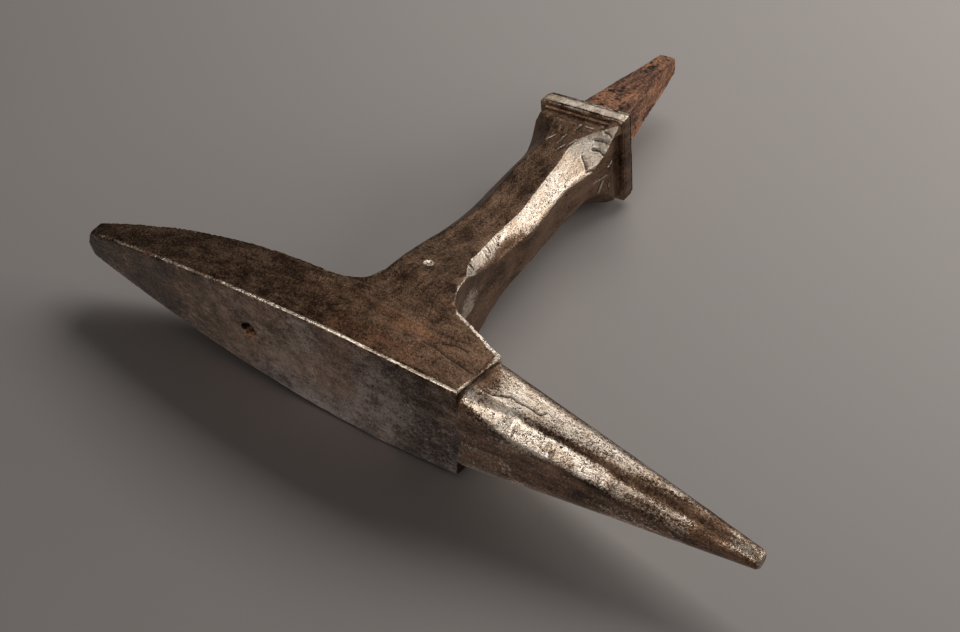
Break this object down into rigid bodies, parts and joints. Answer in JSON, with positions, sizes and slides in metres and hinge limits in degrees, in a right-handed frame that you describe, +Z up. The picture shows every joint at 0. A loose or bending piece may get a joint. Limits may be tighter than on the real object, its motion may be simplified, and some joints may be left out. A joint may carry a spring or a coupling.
{
  "type": "stake anvil",
  "caption": "Forged stake anvil (bickern) with a crowned pointed face, a tapered round horn, an octagonal stem, a square collar and a tapered tang for a bench or block.",
  "frame": {"origin": "centre of the collar's underside on the axis of the foot, where the anvil seats on its block", "axes": "+Z up out of the working face, with the tang pointing down; the horn points to -X and the heel to +X"},
  "size_m": [0.491, 0.0786, 0.41],
  "materials": {
    "face_patina": "dark grey-brown mottled patina with fine pitting and burnished edges",
    "iron_patina": "dark brown patina with reddish-brown streaks, worn bright on corners",
    "worn_steel": "bright pitted steel with small black pits and brown undersides",
    "rusty_iron": "rust brown scale with lighter orange spots"
  },
  "bodies": {
    "root": {"face_steel": "face_patina", "horn_steel": "worn_steel", "horn_core": "worn_steel", "heel_core": "iron_patina", "head_block": "iron_patina", "heel_glut": "iron_patina", "horn_glut": "iron_patina", "shank": "iron_patina", "foot": "iron_patina", "collar": "iron_patina", "tang": "rusty_iron"}
  },
  "joints": []
}
